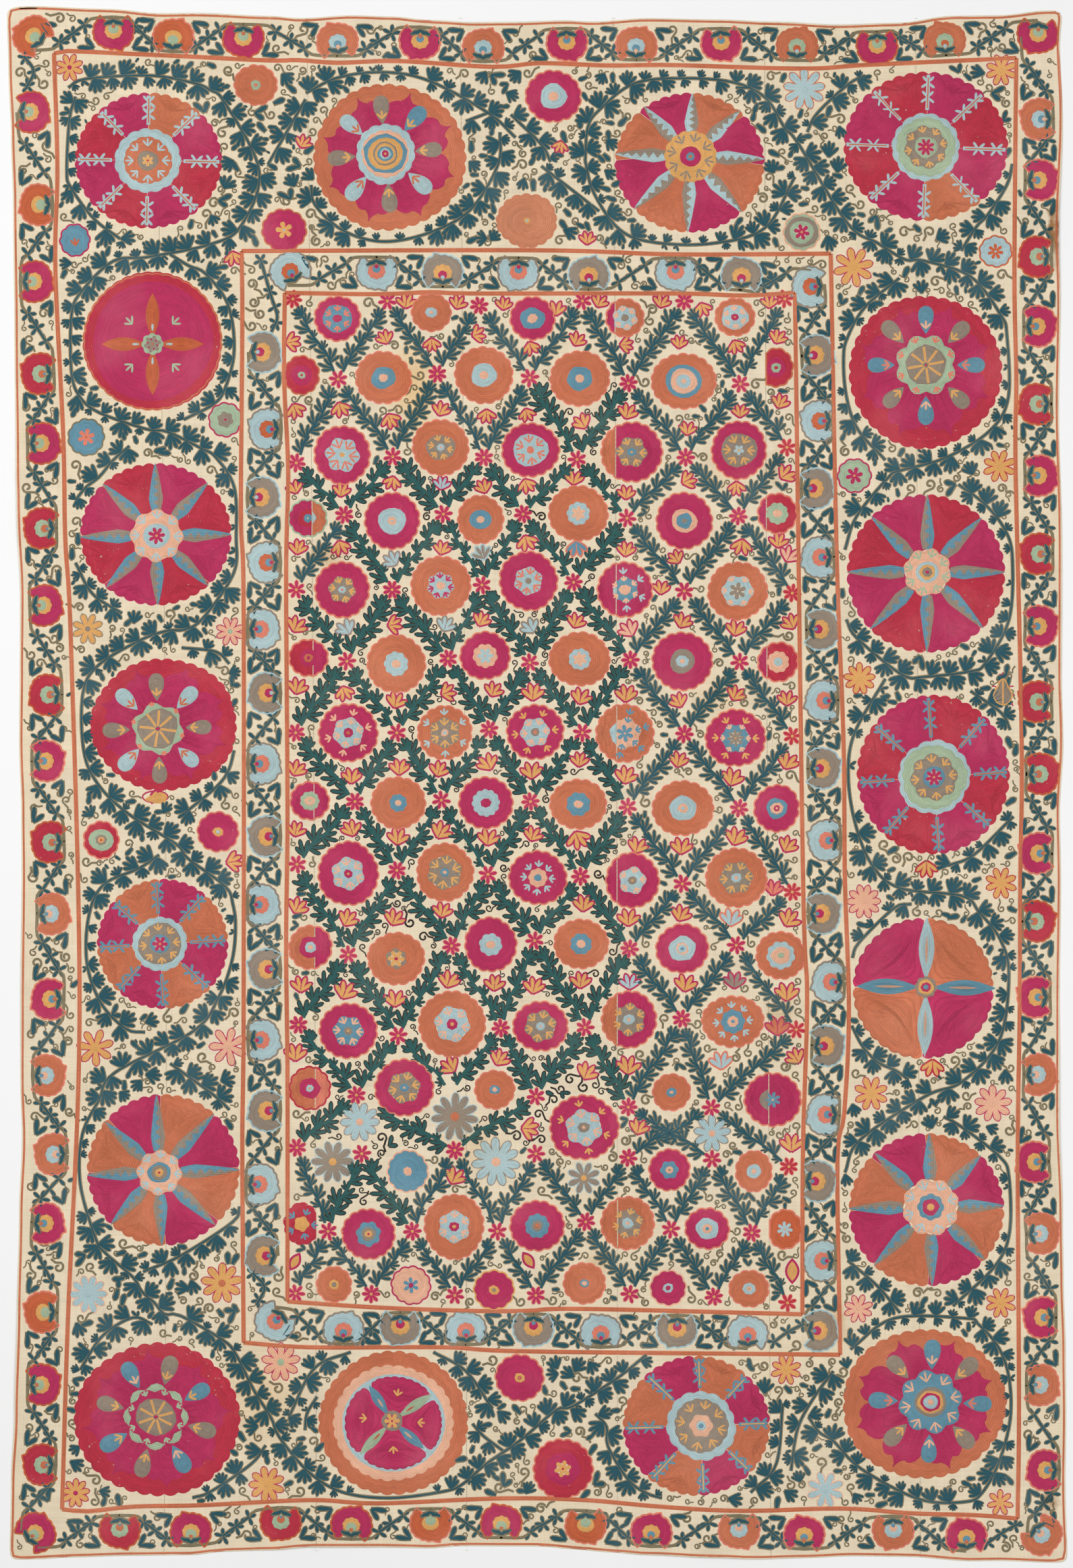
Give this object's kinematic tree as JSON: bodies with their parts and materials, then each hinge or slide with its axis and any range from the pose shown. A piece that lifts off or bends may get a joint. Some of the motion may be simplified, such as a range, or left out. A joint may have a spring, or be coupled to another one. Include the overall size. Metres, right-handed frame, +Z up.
{
  "type": "suzani embroidered textile",
  "caption": "Large flat embroidered cloth of seven sewn loom widths with gently wavy outer edges, lying flat as a wall hanging, bed cover or spread.",
  "frame": {"origin": "middle of the bounding box, on the surface that the cloth lies on", "axes": "+Y to the top of the design along the cloth's length, +X to its right across the loom widths, +Z up out of the embroidered face"},
  "size_m": [1.8291, 2.6872, 0.0055],
  "materials": {
    "embroidered_cotton": "matt hand-loomed cotton, unbleached",
    "silk_thread": "twisted silk in chain stitch, soft sheen"
  },
  "bodies": {
    "root": {"cloth_strip_1": "embroidered_cotton", "cloth_strip_2": "embroidered_cotton", "cloth_strip_3": "embroidered_cotton", "cloth_strip_4": "embroidered_cotton", "cloth_strip_5": "embroidered_cotton", "cloth_strip_6": "embroidered_cotton", "cloth_strip_7": "embroidered_cotton"}
  },
  "joints": []
}
